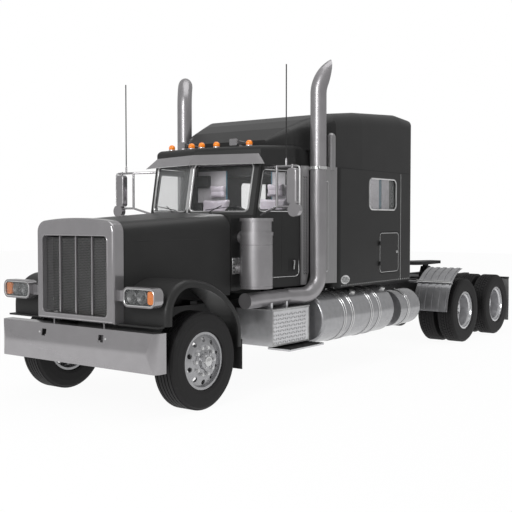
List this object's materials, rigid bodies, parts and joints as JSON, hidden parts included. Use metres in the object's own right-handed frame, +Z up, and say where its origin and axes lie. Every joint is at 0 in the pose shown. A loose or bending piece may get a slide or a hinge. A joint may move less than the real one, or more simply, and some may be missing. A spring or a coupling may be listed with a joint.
{
  "type": "semi truck tractor unit",
  "caption": "Long-nose conventional semi truck tractor with a raised-roof sleeper, upright exhaust stacks, tandem drive axles and a fifth wheel for coupling a trailer.",
  "frame": {"origin": "on the ground at the middle of the overall length and width", "axes": "+Y to the rear of the truck, +X to its left, +Z up"},
  "size_m": [2.976, 9.25, 3.9639],
  "materials": {
    "charcoal_paint": "gloss",
    "black_paint": "satin",
    "polished_steel": "polished",
    "stainless": "brushed",
    "polished_aluminium": "polished",
    "cast_iron": "painted",
    "tyre": "matte",
    "rubber": "matte",
    "glass": "clear",
    "lens": "clear",
    "amber": "gloss",
    "trim_plastic": "matte",
    "dark_plastic": "matte",
    "fabric": "woven",
    "board": "satin"
  },
  "bodies": {
    "chassis": {"frame": "black_paint", "front_axle": "cast_iron", "drive_axles": "cast_iron", "rear_suspension": "dark_plastic", "engine": "black_paint", "radiator": "black_paint", "bumper": "polished_steel", "cab_body": "charcoal_paint", "cab_roof": "charcoal_paint", "windshield": "glass", "sun_visor": "polished_steel", "roof_lamps": "amber", "air_horns": "polished_steel", "dashboard": "trim_plastic", "steering_wheel": "dark_plastic", "seats": "fabric", "sleeper_walls": "charcoal_paint", "sleeper_rear": "charcoal_paint", "sleeper_roof": "charcoal_paint", "sleeper_windows": "glass", "bunk": "board", "air_cleaners": "polished_steel", "exhaust_stacks": "polished_steel", "heat_shields": "stainless", "fuel_tanks": "polished_aluminium", "step_boxes": "polished_aluminium", "quarter_fenders": "polished_aluminium", "fifth_wheel_base": "black_paint", "mud_flaps": "rubber"},
    "hood": {"hood": "charcoal_paint", "fenders": "charcoal_paint", "grille_surround": "polished_steel", "grille": "stainless", "headlamps": "polished_steel", "headlamp_lenses": "lens"},
    "knuckle_left": {"knuckle_left": "cast_iron"},
    "knuckle_right": {"knuckle_right": "cast_iron"},
    "tie_rod": {"tie_rod": "cast_iron"},
    "fifth_wheel": {"fifth_wheel_plate": "cast_iron"},
    "door_left": {"door_left": "charcoal_paint", "door_glass_left": "glass", "mirror_left": "polished_steel"},
    "luggage_door_left": {"luggage_door_left": "charcoal_paint"},
    "wheel_front_left": {"rim_front_left": "polished_aluminium", "tyre_front_left": "tyre"},
    "wheel_drive1_left": {"rim_drive1_left": "polished_aluminium", "tyre_drive1_left": "tyre"},
    "wheel_drive2_left": {"rim_drive2_left": "polished_aluminium", "tyre_drive2_left": "tyre"},
    "door_right": {"door_right": "charcoal_paint", "door_glass_right": "glass", "mirror_right": "polished_steel"},
    "luggage_door_right": {"luggage_door_right": "charcoal_paint"},
    "wheel_front_right": {"rim_front_right": "polished_aluminium", "tyre_front_right": "tyre"},
    "wheel_drive1_right": {"rim_drive1_right": "polished_aluminium", "tyre_drive1_right": "tyre"},
    "wheel_drive2_right": {"rim_drive2_right": "polished_aluminium", "tyre_drive2_right": "tyre"}
  },
  "joints": [
    {"name": "steer_left", "type": "hinge", "parent": "chassis", "child": "knuckle_left", "pos_m": [0.855, -3.835, 0.515], "axis": [0, 0, 1], "range_deg": [-40, 40]},
    {"name": "steer_right", "type": "hinge", "parent": "chassis", "child": "knuckle_right", "pos_m": [-0.855, -3.835, 0.515], "axis": [0, 0, 1], "range_deg": [-40, 40]},
    {"name": "wheel_front_left_spin", "type": "hinge", "parent": "knuckle_left", "child": "wheel_front_left", "pos_m": [1.03, -3.835, 0.515], "axis": [1, 0, 0], "continuous": true},
    {"name": "wheel_drive1_left_spin", "type": "hinge", "parent": "chassis", "child": "wheel_drive1_left", "pos_m": [0.91, 2.665, 0.515], "axis": [1, 0, 0], "continuous": true},
    {"name": "wheel_drive2_left_spin", "type": "hinge", "parent": "chassis", "child": "wheel_drive2_left", "pos_m": [0.91, 3.985, 0.515], "axis": [1, 0, 0], "continuous": true},
    {"name": "door_left_hinge", "type": "hinge", "parent": "chassis", "child": "door_left", "pos_m": [0.857, -2.517, 1.9], "axis": [0, 0, -1], "range_deg": [0, 70]},
    {"name": "luggage_door_left_hinge", "type": "hinge", "parent": "chassis", "child": "luggage_door_left", "pos_m": [1.136, -0.055, 1.53], "axis": [0, 0, -1], "range_deg": [0, 90]},
    {"name": "wheel_front_right_spin", "type": "hinge", "parent": "knuckle_right", "child": "wheel_front_right", "pos_m": [-1.03, -3.835, 0.515], "axis": [1, 0, 0], "continuous": true},
    {"name": "wheel_drive1_right_spin", "type": "hinge", "parent": "chassis", "child": "wheel_drive1_right", "pos_m": [-0.91, 2.665, 0.515], "axis": [1, 0, 0], "continuous": true},
    {"name": "wheel_drive2_right_spin", "type": "hinge", "parent": "chassis", "child": "wheel_drive2_right", "pos_m": [-0.91, 3.985, 0.515], "axis": [1, 0, 0], "continuous": true},
    {"name": "door_right_hinge", "type": "hinge", "parent": "chassis", "child": "door_right", "pos_m": [-0.857, -2.517, 1.9], "axis": [0, 0, 1], "range_deg": [0, 70]},
    {"name": "luggage_door_right_hinge", "type": "hinge", "parent": "chassis", "child": "luggage_door_right", "pos_m": [-1.136, -0.055, 1.53], "axis": [0, 0, 1], "range_deg": [0, 90]},
    {"name": "tie_rod_pivot", "type": "hinge", "parent": "knuckle_left", "child": "tie_rod", "pos_m": [0.855, -3.605, 0.39], "axis": [0, 0, 1], "range_deg": [-40, 40]},
    {"name": "hood_tilt", "type": "hinge", "parent": "chassis", "child": "hood", "pos_m": [0, -4.515, 0.93], "axis": [1, 0, 0], "range_deg": [0, 65]},
    {"name": "fifth_wheel_rock", "type": "hinge", "parent": "chassis", "child": "fifth_wheel", "pos_m": [0, 2.945, 1.16], "axis": [1, 0, 0], "range_deg": [-12, 12]}
  ],
  "couplings": [
    {"joint": "steer_right", "follows": "steer_left", "ratio": 1},
    {"joint": "tie_rod_pivot", "follows": "steer_left", "ratio": -1}
  ]
}
